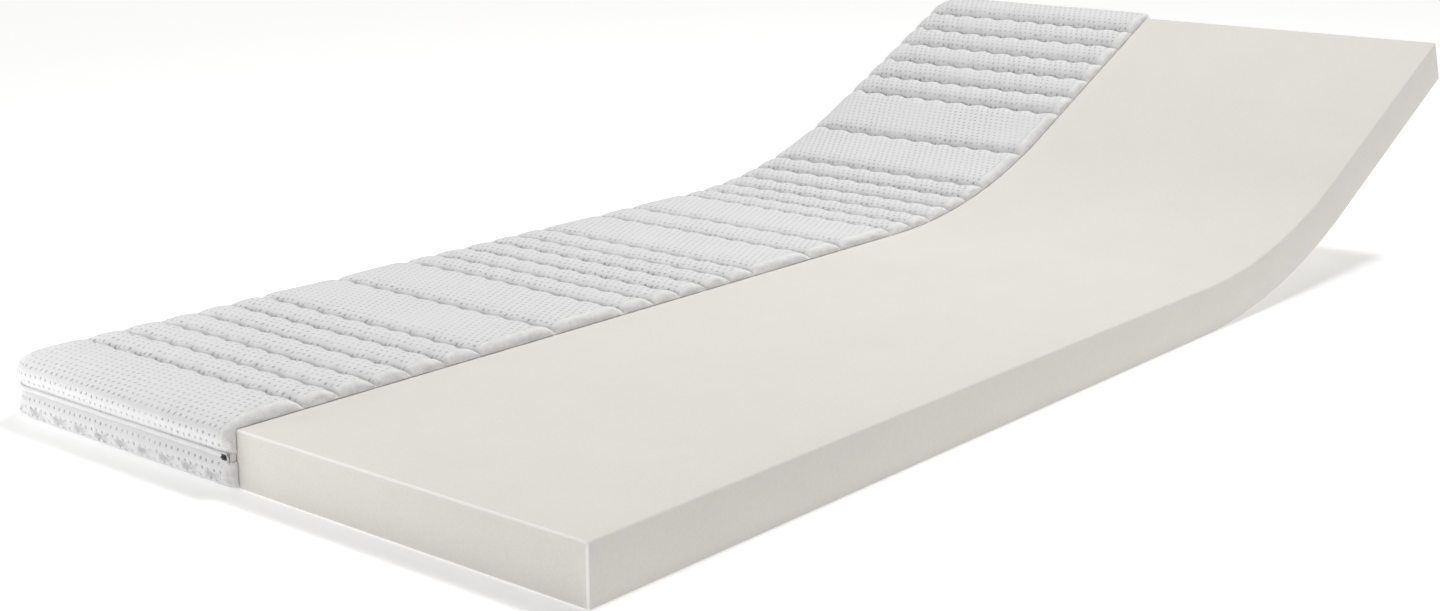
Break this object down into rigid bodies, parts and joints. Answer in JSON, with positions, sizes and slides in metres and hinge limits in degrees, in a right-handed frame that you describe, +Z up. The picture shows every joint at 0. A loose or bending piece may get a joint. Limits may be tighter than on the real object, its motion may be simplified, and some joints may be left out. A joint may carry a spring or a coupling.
{
  "type": "memory foam mattress",
  "caption": "Low single mattress: memory foam core, quilted knitted cover zipped round one side and cut open along the middle, head end raised in a smooth bend.",
  "frame": {"origin": "middle of the whole mattress in plan, on the plane it lies on", "axes": "+Y from the foot end to the raised head end, +X from the covered side to the bare side, +Z up"},
  "size_m": [0.912, 1.9702, 0.3249],
  "materials": {
    "memory_foam": "matt open-cell polyurethane foam, off-white",
    "knitted_cover": "white double-knit fabric with a dimpled face, quilted",
    "wadding": "white polyester fibre wadding",
    "lining": "thin white knitted backing",
    "zip_tape": "smooth grey-white woven tape",
    "zip_teeth": "white nylon coil",
    "zip_slider": "black painted metal"
  },
  "bodies": {
    "foot_section": {"foam_core_foot": "memory_foam", "cover_upper_lining_foot": "lining", "cover_lower_lining_foot": "lining", "cover_upper_wadding_foot": "wadding", "cover_lower_wadding_foot": "wadding", "cover_upper_knit_foot": "knitted_cover", "cover_lower_knit_foot": "knitted_cover", "zip_upper_tape_foot": "zip_tape", "zip_lower_tape_foot": "zip_tape", "zip_upper_teeth_foot": "zip_teeth", "zip_lower_teeth_foot": "zip_teeth"},
    "bend_1_section": {"foam_core_bend_1": "memory_foam", "cover_upper_lining_bend_1": "lining", "cover_lower_lining_bend_1": "lining", "cover_upper_wadding_bend_1": "wadding", "cover_lower_wadding_bend_1": "wadding", "cover_upper_knit_bend_1": "knitted_cover", "cover_lower_knit_bend_1": "knitted_cover", "zip_upper_tape_bend_1": "zip_tape", "zip_lower_tape_bend_1": "zip_tape", "zip_upper_teeth_bend_1": "zip_teeth", "zip_lower_teeth_bend_1": "zip_teeth"},
    "bend_2_section": {"foam_core_bend_2": "memory_foam", "cover_upper_lining_bend_2": "lining", "cover_lower_lining_bend_2": "lining", "cover_upper_wadding_bend_2": "wadding", "cover_lower_wadding_bend_2": "wadding", "cover_upper_knit_bend_2": "knitted_cover", "cover_lower_knit_bend_2": "knitted_cover", "zip_upper_tape_bend_2": "zip_tape", "zip_lower_tape_bend_2": "zip_tape", "zip_upper_teeth_bend_2": "zip_teeth", "zip_lower_teeth_bend_2": "zip_teeth"},
    "bend_3_section": {"foam_core_bend_3": "memory_foam", "cover_upper_lining_bend_3": "lining", "cover_lower_lining_bend_3": "lining", "cover_upper_wadding_bend_3": "wadding", "cover_lower_wadding_bend_3": "wadding", "cover_upper_knit_bend_3": "knitted_cover", "cover_lower_knit_bend_3": "knitted_cover", "zip_upper_tape_bend_3": "zip_tape", "zip_lower_tape_bend_3": "zip_tape", "zip_upper_teeth_bend_3": "zip_teeth", "zip_lower_teeth_bend_3": "zip_teeth"},
    "head_section": {"foam_core_head": "memory_foam", "cover_upper_lining_head": "lining", "cover_lower_lining_head": "lining", "cover_upper_wadding_head": "wadding", "cover_lower_wadding_head": "wadding", "cover_upper_knit_head": "knitted_cover", "cover_lower_knit_head": "knitted_cover", "zip_upper_tape_head": "zip_tape", "zip_lower_tape_head": "zip_tape", "zip_upper_teeth_head": "zip_teeth", "zip_lower_teeth_head": "zip_teeth"},
    "foot_slider": {"zip_slider_foot": "zip_slider"},
    "head_slider": {"zip_slider_head": "zip_slider"}
  },
  "joints": [
    {"name": "head_lift_1", "type": "hinge", "parent": "foot_section", "child": "bend_1_section", "pos_m": [0.006, 0.27485, 0], "axis": [1, 0, 0], "range_deg": [-6.38, 8.62], "stiffness_Nm_per_rad": 6, "springref_deg": -6.38},
    {"name": "head_lift_2", "type": "hinge", "parent": "bend_1_section", "child": "bend_2_section", "pos_m": [0.006, 0.38367, 0.01216], "axis": [1, 0, 0], "range_deg": [-6.38, 8.62], "stiffness_Nm_per_rad": 6, "springref_deg": -6.38},
    {"name": "head_lift_3", "type": "hinge", "parent": "bend_2_section", "child": "bend_3_section", "pos_m": [0.006, 0.49047, 0.03633], "axis": [1, 0, 0], "range_deg": [-6.38, 8.62], "stiffness_Nm_per_rad": 6, "springref_deg": -6.38},
    {"name": "head_lift_4", "type": "hinge", "parent": "bend_3_section", "child": "head_section", "pos_m": [0.006, 0.59393, 0.0722], "axis": [1, 0, 0], "range_deg": [-6.38, 8.62], "stiffness_Nm_per_rad": 6, "springref_deg": -6.38},
    {"name": "foot_zip_slide", "type": "slide", "parent": "foot_section", "child": "foot_slider", "axis": [-1, 0, 0], "range_m": [0, 0.361]},
    {"name": "head_zip_slide", "type": "slide", "parent": "head_section", "child": "head_slider", "axis": [-1, 0, 0], "range_m": [0, 0.361]}
  ],
  "couplings": [
    {"joint": "head_lift_2", "follows": "head_lift_1", "ratio": 1},
    {"joint": "head_lift_3", "follows": "head_lift_1", "ratio": 1},
    {"joint": "head_lift_4", "follows": "head_lift_1", "ratio": 1}
  ]
}
